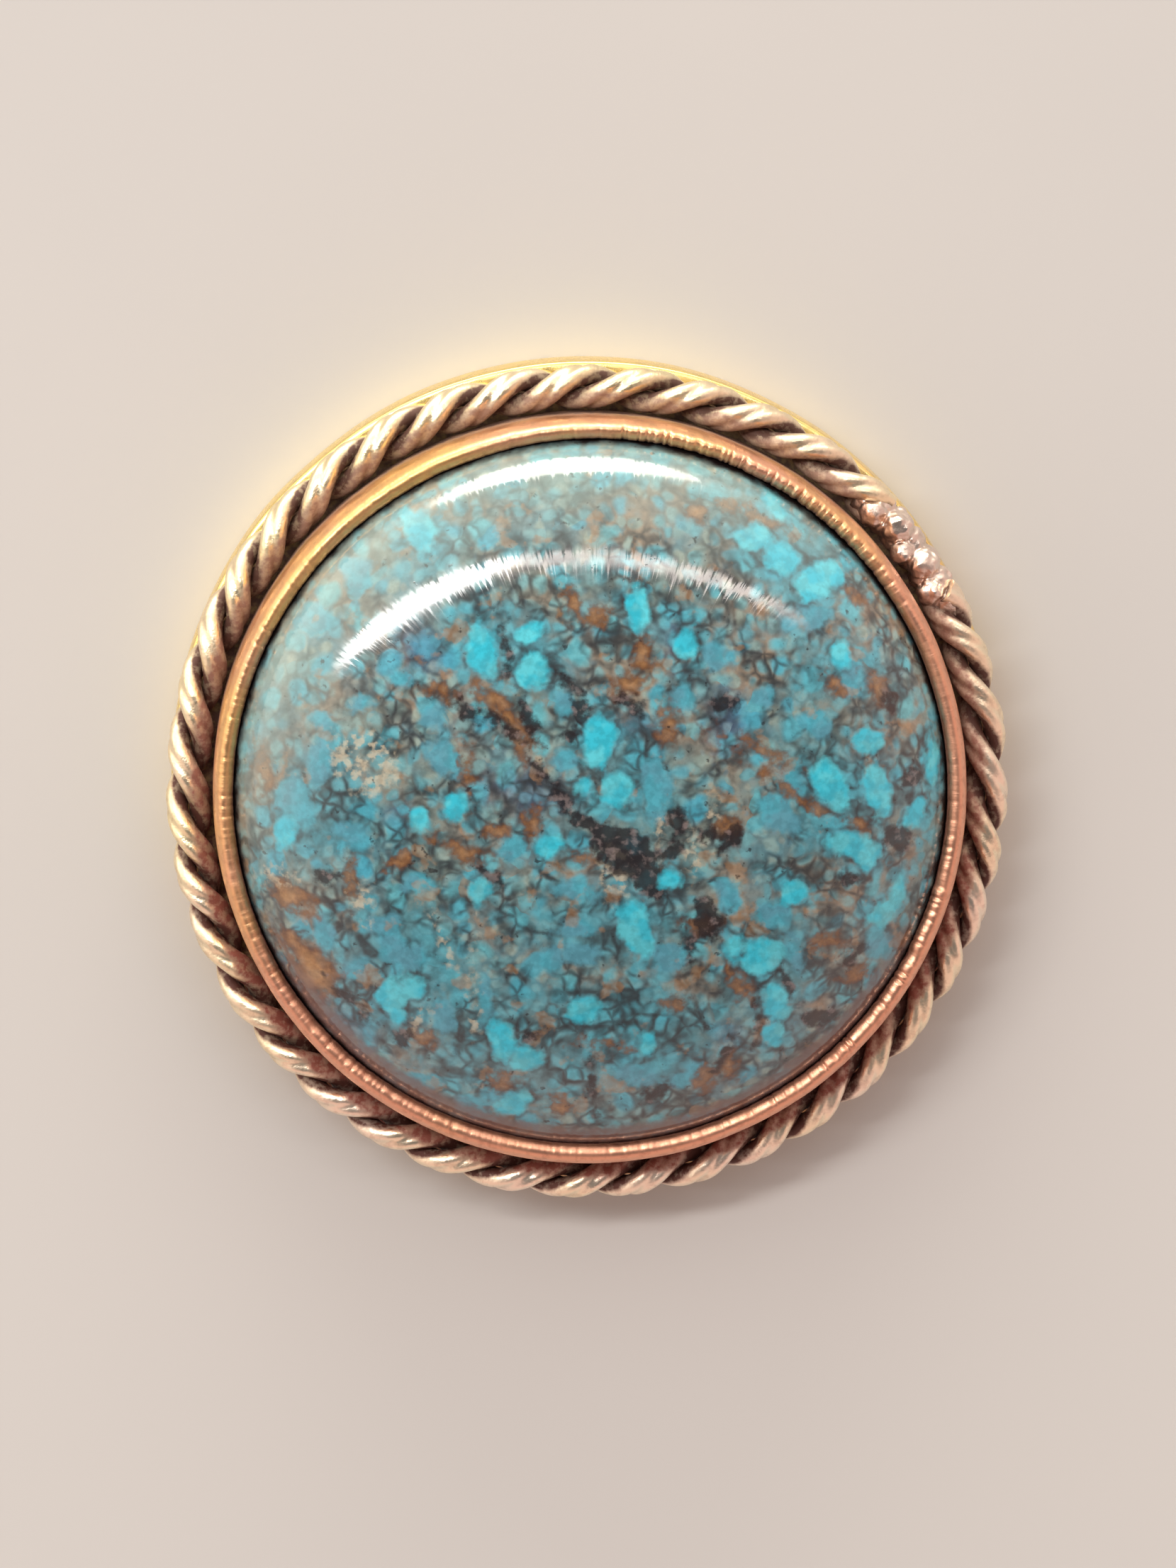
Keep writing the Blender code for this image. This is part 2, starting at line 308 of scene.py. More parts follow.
# The metals' colours
METAL_GOLD = screen(246, 204, 112)
METAL_COPPER = screen(238, 178, 148)
# Lit and shaded copies of the patina: the first is painted lighter for the top, the second darker and
# redder as painted shade for the bottom
METAL_PATINA = screen(158, 130, 114)
METAL_PATINA_SHADED_LOW = screen(142, 84, 72)
METAL_PATINA_DEEP = screen(74, 42, 34)
ROPE_GOLD = screen(255, 238, 196)
ROPE_COPPER = screen(253, 232, 216)
PLATE_GOLD = screen(252, 224, 146)
SOLDER_GREY = screen(232, 214, 202)

# How the lip wavers round the ring: count, size in millimetres, shift in degrees
LIP_WAVER = ((1, 0.030, 85), (2, 0.022, 40), (3, 0.016, 200), (5, 0.010, 20))
# The lip's section: how far in from the wall's outside and up from its top, in millimetres
LIP_SECTION = ((0.0, -1.2), (0.0, -0.60), (0.02, -0.30), (0.11, -0.06), (0.24, 0.03), (0.38, -0.03))
# The lip's unevenness and its tool marks, outwards and down, in millimetres
LIP_UNEVEN, MARK_WIDTH, MARK_DEPTH = 0.016, 0.035, 0.055

# The plate was soldered on a little off centre, and it is a little wider than its drawing
PLATE_SHIFT = 0.17 * MM
PLATE_SHIFT_ANGLE = math.radians(96)
PLATE_EXTRA_RADIUS = 0.03 * MM
PLATE_BEVEL = 0.1 * MM

# The wire of the rope
SEAM_HALF_GAP = 0.13  # radians
STRAND_OFFSET = 0.262 * MM
WIRE_HALF_DEPTH = 0.245 * MM
WIRE_HALF_WIDTH = 0.28 * MM
WIRE_GROOVE = 0.22
WIRE_WAVER = 0.012 * MM

# The solder's lumps: angle in degrees, way out and up from the rope's centre, size in millimetres
SOLDER_LUMPS = (
    (43.9, -0.12, 0.14, 0.34), (39.9, 0.06, 0.16, 0.36), (36.6, -0.20, 0.16, 0.28),
    (33.4, 0.04, 0.15, 0.36), (29.6, -0.14, 0.14, 0.32), (27.0, 0.10, 0.06, 0.30),
)
# The filling under them: first angle and step in degrees, then sway, rise and size in millimetres
FILLING_START, FILLING_STEP, FILLING_COUNT = 26.8, 1.7, 12
FILLING_SWAY, FILLING_RISE, FILLING_SIZE = 0.06, -0.08, 0.38
SOLDER_GRAIN = 0.018 * MM
SOLDER_SMOOTHING = 14

# The softboxes: name, two ends and width in metres, power in watts, colour
SOFTBOXES = (
    ("bright_strip", (-0.275, 0.100, 0.28), (-0.046, 0.149, 0.28), 0.040, 0.46, (1.0, 0.97, 0.93)),
    ("rosy_strip", (-0.120, 0.150, 0.28), (0.225, 0.122, 0.28), 0.022, 0.16, (1.0, 0.88, 0.82)),
    ("low_strip", (-0.170, 0.285, 0.054), (0.135, 0.305, 0.054), 0.100, 0.66, (1.0, 0.95, 0.84)),
)
# The studio's walls as the object reflects them, in linear light
STUDIO_ROSY = (0.84, 0.60, 0.53)
STUDIO_CREAM = (1.35, 1.26, 1.12)
STUDIO_BRIGHT = (2.6, 2.4, 2.0)
STUDIO_CEILING = (0.16, 0.155, 0.155)
FLOOR_TONES = (0.56, 0.555, 0.55), (0.60, 0.59, 0.58)
FLOOR_HALF_SIZE = 1.2

CAMERA_DISTANCE = 0.18
CAMERA_LEAN = math.radians(9.0)
CAMERA_BEARING = math.radians(106.0)
CAMERA_LENS = 186.0


def make_ring_place_group():
    """A point's distance from the ring's axis, its way out and its height, in millimetres."""
    tree, sheet, given, out = new_group(
        "ring_place", {"Millimetres": (VECTOR, None)},
        {"Radius": FLOAT, "Outward": VECTOR, "Height": FLOAT},
    )
    parts = sheet.add("ShaderNodeSeparateXYZ", {0: given["Millimetres"]}).outputs
    flat = sheet.vector(parts[0], parts[1], 0.0)
    sheet.feed(out["Radius"], sheet.vector_math("LENGTH", flat, output=1))
    sheet.feed(out["Outward"], sheet.vector_math("NORMALIZE", flat))
    sheet.feed(out["Height"], parts[2])
    return tree


def make_polish_lines_group(ring_place):
    """Fine lines left by polishing: streaks along the ring or across it, as a height from 0 to 1."""
    tree, sheet, given, out = new_group(
        "polish_lines",
        {"Millimetres": (VECTOR, None), "Round": (FLOAT, 40.0), "Across": (FLOAT, 2.0)},
        {"Height": FLOAT},
    )
    place = sheet.group(ring_place, {"Millimetres": given["Millimetres"]})
    around = sheet.scaled(place["Outward"], given["Round"])
    depth = sheet.times(sheet.plus(place["Radius"], place["Height"]), given["Across"])
    lines = sheet.noise(sheet.vector_math("ADD", around, sheet.vector(0.0, 0.0, depth)), 1.0, 3.0, 0.6)
    sheet.feed(out["Height"], lines)
    return tree


def make_brass_finish_group():
    """Brass that turns from yellow to copper in clouds, with patina where the recess mask is high."""
    tree, sheet, given, out = new_group(
        "brass_finish",
        {
            "Millimetres": (VECTOR, None),
            "Yellow": (COLOUR, None),
            "Copper": (COLOUR, None),
            "Patina": (COLOUR, None),
            "Copper Share": (FLOAT, 0.5),
            "Recess": (FLOAT, 0.0),
            "Polish": (FLOAT, 0.2),
        },
        {"Color": COLOUR, "Roughness": FLOAT, "Metallic": FLOAT},
    )
    place = given["Millimetres"]
    clouds = sheet.ramp(sheet.noise(place, 0.45, 3.0), 0.35, 0.65, -0.22, 0.22)
    copper = sheet.math("ADD", given["Copper Share"], clouds, clamp=True)
    metal = sheet.mix(copper, given["Yellow"], given["Copper"])
    spots = sheet.ramp(sheet.noise(place, 5.0, 4.0, 0.6), 0.3, 0.7, -0.22, 0.22)
    darkened = sheet.math("ADD", given["Recess"], spots, clamp=True)
    sheet.feed(out["Color"], sheet.mix(darkened, metal, given["Patina"]))
    sheet.feed(out["Metallic"], sheet.ramp(darkened, 0.2, 1.0, 1.0, 0.25))
    smears = sheet.ramp(sheet.noise(place, 1.6, 4.0, 0.6), 0.3, 0.7, -0.04, 0.08)
    shine = sheet.plus(given["Polish"], smears)
    sheet.feed(out["Roughness"], sheet.plus(shine, sheet.times(darkened, 0.3)))
    return tree


def make_nodule_layer_group():
    """Rounded grains of one size. Mask is 1 inside a grain, Tone a random number for each grain."""
    tree, sheet, given, out = new_group(
        "nodule_layer",
        {
            "Millimetres": (VECTOR, None),
            "Grain Size": (FLOAT, 0.5),
            "Fill": (FLOAT, 0.4),
            "Softness": (FLOAT, 0.1),
            "Share": (FLOAT, 0.5),
        },
        {"Mask": FLOAT, "Tone": FLOAT},
    )
    cells = sheet.add(
        "ShaderNodeTexVoronoi",
        {"Vector": given["Millimetres"], "Scale": sheet.math("DIVIDE", 1.0, given["Grain Size"])},
    )
    chance = sheet.add("ShaderNodeSeparateColor", {0: cells.outputs["Color"]}).outputs
    there = sheet.math("LESS_THAN", chance[0], given["Share"])
    inner = sheet.minus(given["Fill"], given["Softness"])
    outer = sheet.plus(given["Fill"], given["Softness"])
    disc = sheet.ramp(cells.outputs["Distance"], inner, outer, 1.0, 0.0)
    sheet.feed(out["Mask"], sheet.times(disc, there))
    sheet.feed(out["Tone"], chance[1])
    return tree


def make_web_group():
    """The dark web between grains of one size: soft lines that fade in and out."""
    tree, sheet, given, out = new_group(
        "matrix_web",
        {"Millimetres": (VECTOR, None), "Grain Size": (FLOAT, 0.5), "Width": (FLOAT, 0.08)},
        {"Mask": FLOAT},
    )
    cells = sheet.add(
        "ShaderNodeTexVoronoi",
        {"Vector": given["Millimetres"], "Scale": sheet.math("DIVIDE", 1.0, given["Grain Size"])},
        feature="DISTANCE_TO_EDGE",
    )
    swell = sheet.ramp(sheet.noise(given["Millimetres"], 1.3, 3.0), 0.38, 0.62)
    line = sheet.ramp(cells.outputs["Distance"], 0.0, given["Width"], 1.0, 0.0)
    sheet.feed(out["Mask"], sheet.times(line, swell))
    return tree


def new_material(name):
    """A new material: its sheet, its shader and the place on the piece, in millimetres."""
    material = bpy.data.materials.new(name)
    material.use_nodes = True
    sheet = Sheet(material.node_tree)
    shader = material.node_tree.nodes["Principled BSDF"]
    place = sheet.add("ShaderNodeTexCoord").outputs["Object"]
    millimetres = sheet.add("ShaderNodeMapping", {"Vector": place, "Scale": (1 / MM,) * 3}).outputs[0]
    return material, sheet, shader, millimetres


def attribute(sheet, name):
    """A value that the mesh carries. It is 0 on a mesh without it."""
    return sheet.add("ShaderNodeAttribute", attribute_name=name).outputs["Fac"]


class StonePattern:
    """What the stone's layers of colour share: the place, the noise and the markings' masks."""

    def __init__(self, sheet, place, groups):
        self.sheet = sheet
        self.place = place
        self.groups = groups
        bend = sheet.vector_math("SUBTRACT", sheet.noise(place, 1.5, 2.0, output=1), (0.5, 0.5, 0.5))
        self.bent = sheet.vector_math("ADD", place, sheet.scaled(bend, 0.45))
        self.smooth = self.spread(2.6, 0.16)
        self.rough = self.spread(3.6, 0.40, 4.0)
        self.nodule = self.depth("nodule", 0.3, 1.0)
        self.blue = self.marking("blue", -0.30, 0.22)
        self.teal = self.marking("teal", -0.45, 0.45, 1.5)
        self.soft = self.marking("soft", -0.10, 0.08, 0.4, 1.0)
        self.dark = self.marking("dark", -0.13, 0.03, 0.75)
        bare = sheet.minus(0.75, sheet.times(self.soft, 0.6))
        crumbs = sheet.ramp(self.spread(4.8, 1.0, 3.0, (1.0, 4.0, 2.0)), 0.30, 0.50)
        self.crumbs = sheet.times(crumbs, bare)

        # Painted reflection: the stone is painted paler and calmer towards its rim, at the top and on the
        # left, as a haze of reflected light
        self.ring = sheet.group(groups["ring_place"], {"Millimetres": place})
        across, self.height_up, _ = sheet.add("ShaderNodeSeparateXYZ", {0: place}).outputs
        self.distance = sheet.plus(self.ring["Radius"], sheet.times(self.rough, 0.5))
        corner = sheet.minus(self.height_up, sheet.times(across, 0.5))
        self.painted_haze = sheet.times(sheet.ramp(self.distance, 5.2, 7.6), sheet.ramp(corner, 0.5, 6.0))

    def spread(self, scale, amount, detail=2.0, shift=(0.0, 0.0, 0.0)):
        """Noise about zero, with this many waves to the millimetre. A shift gives another pattern."""
        cloud = self.sheet.noise(self.sheet.vector_math("ADD", self.place, shift), scale, detail)
        return self.sheet.times(self.sheet.minus(cloud, 0.5), amount * 2)

    def depth(self, name, rough_share=1.0, smooth_share=0.0):
        """How far inside a listed marking a point is, in millimetres. Its edge wanders."""
        sheet = self.sheet
        wander = sheet.plus(sheet.times(self.rough, rough_share), sheet.times(self.smooth, smooth_share))
        return sheet.plus(attribute(sheet, name), wander)

    def marking(self, name, low, high, rough_share=1.0, smooth_share=0.0):
        return self.sheet.ramp(self.depth(name, rough_share, smooth_share), low, high)


def lay_ground(pattern):
    """Clouds of taupe and grey, with hazy, blue and teal areas."""
    sheet = pattern.sheet
    clouds = sheet.ramp(pattern.spread(0.45, 1.0, 3.0), -0.25, 0.25)
    stone = sheet.mix(clouds, STONE_TAUPE, STONE_GREY)
    haze = sheet.ramp(pattern.spread(0.7, 1.0, 3.0, (7.0, 3.0, 5.0)), -0.15, 0.30)
    stone = sheet.mix(sheet.times(haze, 0.8), stone, STONE_HAZE)
    stone = sheet.mix(sheet.times(pattern.blue, 0.75), stone, STONE_NAVY)
    return sheet.mix(sheet.times(pattern.teal, 0.7), stone, STONE_TEAL)


def lay_grains(pattern, stone):
    """Grains of four sizes, brighter near the nodules, and the dark web between them, which fades under
    the painted haze of reflected light.
    """
    sheet = pattern.sheet
    near = sheet.ramp(pattern.nodule, -0.70, -0.05, 0.0, 0.75)
    brightened = sheet.math("MAXIMUM", sheet.times(pattern.teal, 0.7), near)
    for size, fill, softness, share, strength, pale, deep in STONE_GRAINS:
        sizes = {"Grain Size": size, "Fill": fill, "Softness": softness, "Share": share}
        grains = sheet.group(pattern.groups["nodule_layer"], {"Millimetres": pattern.bent, **sizes})
        tone = sheet.mix(grains["Tone"], pale, deep)
        tone = sheet.mix(sheet.times(pattern.blue, 0.5), tone, STONE_SLATE)
        tone = sheet.mix(brightened, tone, STONE_SOFT)
        stone = sheet.mix(sheet.times(grains["Mask"], strength), stone, tone)
    # The web fades where the painted reflection pales the stone
    clear_of_painted_haze = sheet.minus(1.0, sheet.times(pattern.painted_haze, 0.55))
    for size, width, strength in STONE_WEBS:
        sizes = {"Grain Size": size, "Width": width}
        web = sheet.group(pattern.groups["matrix_web"], {"Millimetres": pattern.bent, **sizes})
        stone = sheet.mix(sheet.times(sheet.times(web["Mask"], strength), clear_of_painted_haze), stone, STONE_WEB)
    return stone


def lay_matrix(pattern, stone):
    """Soft nodules, ochre veins, rust and cream patches, and the dark matrix with its chips."""
    sheet = pattern.sheet
    soft_tone = sheet.mix(sheet.ramp(pattern.spread(1.8, 1.0), -0.2, 0.2), STONE_SOFT, STONE_SOFT_DEEP)
    stone = sheet.mix(sheet.times(pattern.soft, 0.88), stone, soft_tone)

    veins = sheet.ramp(pattern.spread(1.4, 1.0, 4.0, (3.0, 8.0, 1.0)), 0.20, 0.34)
    stone = sheet.mix(sheet.times(veins, 0.38), stone, STONE_OCHRE)
    rust_depth = pattern.depth("rust")
    rust = sheet.times(sheet.ramp(rust_depth, -0.16, 0.08), 0.85)
    rust_tone = sheet.mix(sheet.ramp(rust_depth, -0.08, 0.34), STONE_RUST, STONE_OCHRE)
    stone = sheet.mix(rust, stone, rust_tone)
    specks = sheet.ramp(pattern.spread(4.5, 1.0, 3.0), -0.10, 0.20)
    cream = sheet.times(pattern.marking("cream", -0.15, 0.10), specks)
    stone = sheet.mix(sheet.times(cream, 0.65), stone, STONE_CREAM)

    chips = sheet.ramp(pattern.spread(4.2, 1.0, 4.0, (5.0, 2.0, 7.0)), 0.00, 0.36)
    dark_tone = sheet.mix(chips, STONE_DARK, STONE_CHIP)
    stone = sheet.mix(sheet.times(pattern.dark, 0.90), stone, dark_tone)
    return sheet.mix(pattern.crumbs, stone, STONE_DARK)


def lay_nodules(pattern, stone):
    """The bright nodules: clean ovals, with a soft dark line along part of the edge."""
    sheet = pattern.sheet
    from_edge = sheet.math("ABSOLUTE", sheet.plus(pattern.nodule, 0.10))
    edge = sheet.ramp(from_edge, 0.0, 0.12, 1.0, 0.0)
    broken = sheet.ramp(pattern.spread(1.9, 1.0, 2.0, (2.0, 6.0, 9.0)), -0.10, 0.20)
    stone = sheet.mix(sheet.times(sheet.times(edge, broken), 0.5), stone, STONE_WEB)
    paler = sheet.ramp(pattern.spread(2.2, 1.0), -0.2, 0.2)
    tone = sheet.mix(paler, STONE_BRIGHT, STONE_BRIGHT_PALE)
    dim = sheet.ramp(pattern.spread(0.9, 1.0), -0.3, 0.1, 0.8, 1.0)
    body = sheet.times(sheet.ramp(pattern.nodule, -0.10, 0.06), dim)
    return sheet.mix(body, stone, tone)


def lay_rim(pattern, stone):
    """Fine mottling, then painted light at the rim: a pale painted reflection at the top, a brown painted
    reflection at the bottom and painted shade under the lip.
    """
    sheet = pattern.sheet
    mottle = sheet.ramp(pattern.spread(5.5, 1.0, 3.0, (8.0, 1.0, 3.0)), -0.25, 0.25, 0.90, 1.12)
    stone = sheet.mix(1.0, stone, sheet.vector(mottle, mottle, mottle), blend="MULTIPLY")
    # Painted reflection: paler towards the rim at the top and on the left
    stone = sheet.mix(sheet.times(pattern.painted_haze, 0.40), stone, STONE_RIM_REFLECTION_TOP)
    # Painted reflection: brown on the rim towards the bottom
    low = sheet.ramp(pattern.height_up, -2.0, -5.0)
    painted_low_reflection = sheet.times(sheet.ramp(pattern.distance, 7.2, 7.5), low)
    stone = sheet.mix(sheet.times(painted_low_reflection, 0.8), stone, STONE_RIM_REFLECTION_LOW)
    # Painted shade: dark where the stone goes under the lip
    edge_radius = sheet.plus(pattern.ring["Radius"], sheet.times(pattern.smooth, 0.6))
    painted_lip_shade = sheet.ramp(edge_radius, STONE_RADIUS / MM - 0.28, STONE_RADIUS / MM - 0.14)
    return sheet.mix(painted_lip_shade, stone, STONE_LIP_SHADE)


def polish_stone(pattern, shader):
    """The gloss. Polishing from the middle outwards has left the surface faintly fluted, like a comb."""
    sheet, ring = pattern.sheet, pattern.ring
    smears = sheet.ramp(pattern.spread(1.2, 1.0, 3.0), -0.3, 0.4, 0.06, 0.14)
    sheet.feed(shader.inputs["Roughness"], sheet.plus(smears, sheet.times(pattern.dark, 0.06)))
    comb = sheet.noise(sheet.scaled(ring["Outward"], 75.0), 1.0, 3.0, 0.65)
    strength = sheet.ramp(ring["Radius"], 6.6, 7.2, 0.20, 0.36)
    tilt = sheet.times(sheet.math("MAXIMUM", sheet.minus(comb, 0.5), 0.0), strength)
    facing = sheet.add("ShaderNodeNewGeometry").outputs["Normal"]
    fluted = sheet.vector_math("ADD", facing, sheet.scaled(ring["Outward"], tilt))
    fluted = sheet.vector_math("NORMALIZE", fluted)
    pits = sheet.times(sheet.plus(pattern.crumbs, pattern.dark), -1.0)
    keys = {"Height": pits, "Strength": 0.3, "Distance": 0.002 * MM, "Normal": fluted}
    sheet.feed(shader.inputs["Normal"], sheet.add("ShaderNodeBump", keys).outputs[0])


def make_turquoise(groups):
    """Polished turquoise: a grey-teal ground, grains and web, rust and dark matrix, bright nodules."""
    material, sheet, shader, place = new_material("turquoise")
    pattern = StonePattern(sheet, place, groups)
    stone = lay_grains(pattern, lay_ground(pattern))
    stone = lay_nodules(pattern, lay_matrix(pattern, stone))
    sheet.feed(shader.inputs["Base Color"], lay_rim(pattern, stone))
    shader.inputs["IOR"].default_value = STONE_IOR
    polish_stone(pattern, shader)
    return material


def make_brass(name, groups, yellow, copper, copper_share, polish, recess, lines, line_depth):
    """A brass for one piece, with painted light: yellower towards the upper left, where the warm light
    falls, more copper towards the lower right as a painted rosy reflection, and its patina painted lighter
    at the top and darker at the bottom. recess(sheet, ring) wires where it is darkened towards its patina
    and where that is deep.
    """
    material, sheet, shader, place = new_material(name)
    ring = sheet.group(groups["ring_place"], {"Millimetres": place})
    across, height_up, _ = sheet.add("ShaderNodeSeparateXYZ", {0: place}).outputs
    # Painted light: the copper share drops towards the lit upper left and rises towards the lower right, a
    # painted rosy reflection
    corner = sheet.minus(height_up, sheet.times(across, 0.6))
    share = sheet.ramp(corner, -8.0, 11.0, copper_share + 0.20, copper_share - 0.35)
    solder = attribute(sheet, "solder")
    darkened, deep = recess(sheet, ring)
    # Painted light on the patina: lighter towards the top, painted shade darker and redder towards the
    # bottom
    patina = sheet.mix(sheet.ramp(height_up, -4.0, 8.0), METAL_PATINA_SHADED_LOW, METAL_PATINA)
    patina = sheet.mix(deep, patina, METAL_PATINA_DEEP)
    finish = sheet.group(
        groups["brass_finish"],
        {
            "Millimetres": place,
            "Yellow": sheet.mix(solder, yellow, SOLDER_GREY),
            "Copper": sheet.mix(solder, copper, SOLDER_GREY),
            "Patina": patina,
            "Copper Share": share,
            "Recess": darkened,
            "Polish": polish,
        },
    )
    sheet.feed(shader.inputs["Base Color"], finish["Color"])
    sheet.feed(shader.inputs["Roughness"], finish["Roughness"])
    sheet.feed(shader.inputs["Metallic"], finish["Metallic"])
    marks = sheet.group(
        groups["polish_lines"], {"Millimetres": place, "Round": lines[0], "Across": lines[1]}
    )
    dents = sheet.noise(place, 3.2, 3.0)
    height = sheet.plus(marks["Height"], sheet.times(dents, 1.5))
    bump = sheet.add("ShaderNodeBump", {"Height": height, "Strength": 0.6, "Distance": line_depth * MM})
    sheet.feed(shader.inputs["Normal"], bump.outputs[0])
    return material


def rope_recess(sheet, ring):
    """The rope darkened towards its patina on the inner half, which faces the bezel, and most between its
    lumps, where the patina is deep. Solder stays bare.
    """
    outward = sheet.minus(ring["Radius"], ROPE_RING_RADIUS / MM)
    upward = sheet.minus(ring["Height"], ROPE_HEIGHT / MM)
    depth = sheet.vector_math("LENGTH", sheet.vector(outward, upward, 0.0), output=1)
    valley = sheet.ramp(depth, ROPE_RADIUS / MM - 0.20, ROPE_RADIUS / MM - 0.08, 1.0, 0.0)
    inner = sheet.ramp(outward, -0.14, 0.10, 0.90, -0.15)
    darkened = sheet.math("MAXIMUM", inner, valley)
    covered = sheet.minus(1.0, attribute(sheet, "solder"))
    return sheet.times(darkened, covered), sheet.times(valley, 0.85)


def bezel_recess(sheet, ring):
    """High under the lip, next to the stone, and at the foot of the wall, behind the rope."""
    inner = (WALL_RADIUS - WALL_THICKNESS) / MM
    top = WALL_TOP / MM
    inside = sheet.ramp(ring["Radius"], inner - 0.10, inner - 0.02, 1.0, 0.0)
    under = sheet.ramp(ring["Height"], top - 0.18, top - 0.06, 1.0, 0.0)
    behind = sheet.ramp(ring["Height"], ROPE_HEIGHT / MM + 0.2, WALL_TOP / MM - 0.45, 1.0, -0.1)
    return sheet.math("MAXIMUM", sheet.times(inside, under), behind), 0.5


def plate_recess(sheet, ring):
    """High on the plate's top, under the rope and the stone, and bare out at the rim."""
    top = PLATE_TOP / MM
    upper = sheet.ramp(ring["Height"], top - 0.10, top - 0.01)
    under = sheet.ramp(ring["Radius"], PLATE_RADIUS / MM - 0.20, PLATE_RADIUS / MM, 0.9, -0.1)
    return sheet.times(upper, under), 0.5


def cut_corners(points, rounds, closed=True):
    """Rounds a profile off by cutting its corners again and again, which tends to a smooth curve."""
    for _ in range(rounds):
        following = points[1:] + points[:1] if closed else points[1:]
        cut = []
        for near, far in zip(points, following):
            for share in (0.25, 0.75):
                cut.append(tuple(a + (b - a) * share for a, b in zip(near, far)))
        points = cut if closed else [points[0], *cut, points[-1]]
    return points


def turned_mesh(name, profile, segments, closed):
    """Turns an anticlockwise profile of (radius, height) points about Z, with faces that look out."""
    points, rings = [], []
    for radius, height in profile:
        start = len(points)
        if radius == 0.0:
            points.append((0.0, 0.0, height))
            rings.append([start] * segments)
            continue
        for step in range(segments):
            turn = math.tau * step / segments
            points.append((radius * math.cos(turn), radius * math.sin(turn), height))
        rings.append(list(range(start, start + segments)))
    if closed:
        rings.append(rings[0])
    faces = []
    for lower, upper in zip(rings, rings[1:]):
        for step in range(segments):
            following = (step + 1) % segments
            corners = [lower[step], lower[following], upper[following], upper[step]]
            faces.append(list(dict.fromkeys(corners)))
    mesh = bpy.data.meshes.new(name)
    mesh.from_pydata(points, [], faces)
    mesh.shade_smooth()
    return mesh


def new_piece(name, mesh, material):
    mesh.materials.clear()
    mesh.materials.append(material)
    piece = bpy.data.objects.new(name, mesh)
    bpy.context.scene.collection.objects.link(piece)
    return piece


def install(piece, slot, *nodes):
    """Puts a finished piece under its body and hides the frame's nodes that it stands for. The slot is not
    used.
    """
    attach(piece, BODY)
    if nodes:
        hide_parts(*nodes)


def wave(angle, amounts):
    """A closed wave round the ring, from (count, size, shift in degrees) terms."""
    return sum(size * math.cos(count * angle - math.radians(shift)) for count, size, shift in amounts)


def marking_depth(points, patches):
    """How far inside the nearest patch each point lies, in millimetres. It is negative outside."""
    depth = np.full(len(points), -2.0)
    for x, y, half_length, half_width, lean in patches:
        turn = math.radians(lean)
        east, north = points[:, 0] / MM - x, points[:, 1] / MM - y
        along = (east * math.cos(turn) + north * math.sin(turn)) / half_length
        across = (north * math.cos(turn) - east * math.sin(turn)) / half_width
        depth = np.maximum(depth, (1 - np.hypot(along, across)) * half_width)
    return depth


def make_stone(material):
    """The cabochon: the same dome as the solid, finely cut, carrying its map of markings."""
    dome_height = STONE_CROWN - STONE_BASE - GIRDLE_HEIGHT
    profile = [(0.0, 0.0), (STONE_RADIUS - 0.25 * MM, 0.0), (STONE_RADIUS, 0.25 * MM)]
    for step in range(DOME_STEPS):
        turn = math.pi / 2 * step / DOME_STEPS
        radius = STONE_RADIUS * math.cos(turn) ** (2 / DOME_FULLNESS)
        rise = dome_height * math.sin(turn) ** (2 / DOME_FULLNESS)
        profile.append((radius, GIRDLE_HEIGHT + rise))
    profile.append((0.0, GIRDLE_HEIGHT + dome_height))
    mesh = turned_mesh("cabochon", profile, STONE_SEGMENTS, closed=False)
    mesh.transform(Matrix.Translation((0, 0, STONE_BASE)))
    places = np.empty(len(mesh.vertices) * 3)
    mesh.vertices.foreach_get("co", places)
    places = places.reshape(-1, 3)
    maps = {
        "nodule": BRIGHT_NODULES,
        "soft": SOFT_NODULES,
        "dark": DARK_PATCHES,
        "rust": RUST_PATCHES,
        "cream": CREAM_PATCHES,
        "blue": BLUE_PATCHES,
        "teal": TEAL_PATCHES,
    }
    for name, patches in maps.items():
        values = mesh.attributes.new(name, "FLOAT", "POINT")
        values.data.foreach_set("value", marking_depth(places, patches).astype(np.float32))
    return new_piece("cabochon", mesh, material)


def window(angle, middle, half_width):
    """A smooth window round the ring: 1 at the middle, 0 past the half width, both in degrees."""
    away = (math.degrees(angle) - middle + 180) % 360 - 180
    share = max(0.0, 1 - (away / half_width) ** 2)
    return share * share


def lip_marks(angle, inwards):
    """The burnisher's marks at a point of the lip: beads along the bottom and a comb at the top."""
    way = Vector((math.cos(angle), math.sin(angle), 0.0))
    slip = noise.noise(way * 14) * 9
    patchy = 0.5 + noise.noise(way * 22 + Vector((3, 1, 4)))
    worked = 0.05 + 1.1 * window(angle, 325, 50) + 0.9 * window(angle, 222, 34)
    beads = max(0.0, math.sin(150 * angle + slip)) * patchy * worked
    comb = max(0.0, noise.noise(way * 120)) * (window(angle, 72, 26) + window(angle, 48, 20))
    rough = max(0.0, noise.noise(way * 70)) * (0.5 + 1.5 * window(angle, 55, 34))
    untouched = 0.9 * window(angle, 12, 26)
    return (beads * inwards ** 0.5 + 1.8 * comb + rough) * (1 - untouched)


